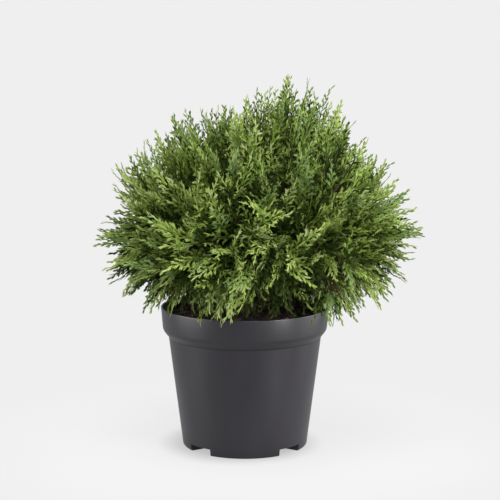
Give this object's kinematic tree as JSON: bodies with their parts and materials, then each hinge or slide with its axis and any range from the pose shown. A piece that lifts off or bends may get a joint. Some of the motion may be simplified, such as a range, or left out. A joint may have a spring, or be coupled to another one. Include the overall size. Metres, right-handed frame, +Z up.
{
  "type": "potted dwarf cypress",
  "caption": "Round dwarf cypress with dense, feathery green sprays, growing in a plain dark plastic nursery pot with a straight rim band.",
  "frame": {"origin": "on the pot's axis, at the level of its flat underside", "axes": "+Z up along the pot's axis; -Y is the front that the picture shows; +X to the right as seen from the front"},
  "size_m": [0.3717, 0.372, 0.4181],
  "materials": {
    "pot_plastic": "satin",
    "potting_soil": "rough",
    "bark": "rough",
    "lower_foliage": "matt",
    "upper_foliage": "matt",
    "top_foliage": "matt"
  },
  "bodies": {
    "root": {"pot": "pot_plastic", "soil": "potting_soil", "trunk": "bark", "bough_lower_1": "bark", "bough_lower_2": "bark", "bough_lower_3": "bark", "bough_lower_4": "bark", "bough_lower_5": "bark", "bough_lower_6": "bark", "bough_lower_7": "bark", "bough_upper_1": "bark", "bough_upper_2": "bark", "bough_upper_3": "bark", "bough_upper_4": "bark", "bough_upper_5": "bark", "foliage_lower_1": "lower_foliage", "foliage_lower_2": "lower_foliage", "foliage_lower_3": "lower_foliage", "foliage_lower_4": "lower_foliage", "foliage_lower_5": "lower_foliage", "foliage_lower_6": "lower_foliage", "foliage_lower_7": "lower_foliage", "foliage_upper_1": "upper_foliage", "foliage_upper_2": "upper_foliage", "foliage_upper_3": "upper_foliage", "foliage_upper_4": "upper_foliage", "foliage_upper_5": "upper_foliage", "foliage_top": "top_foliage"}
  },
  "joints": []
}
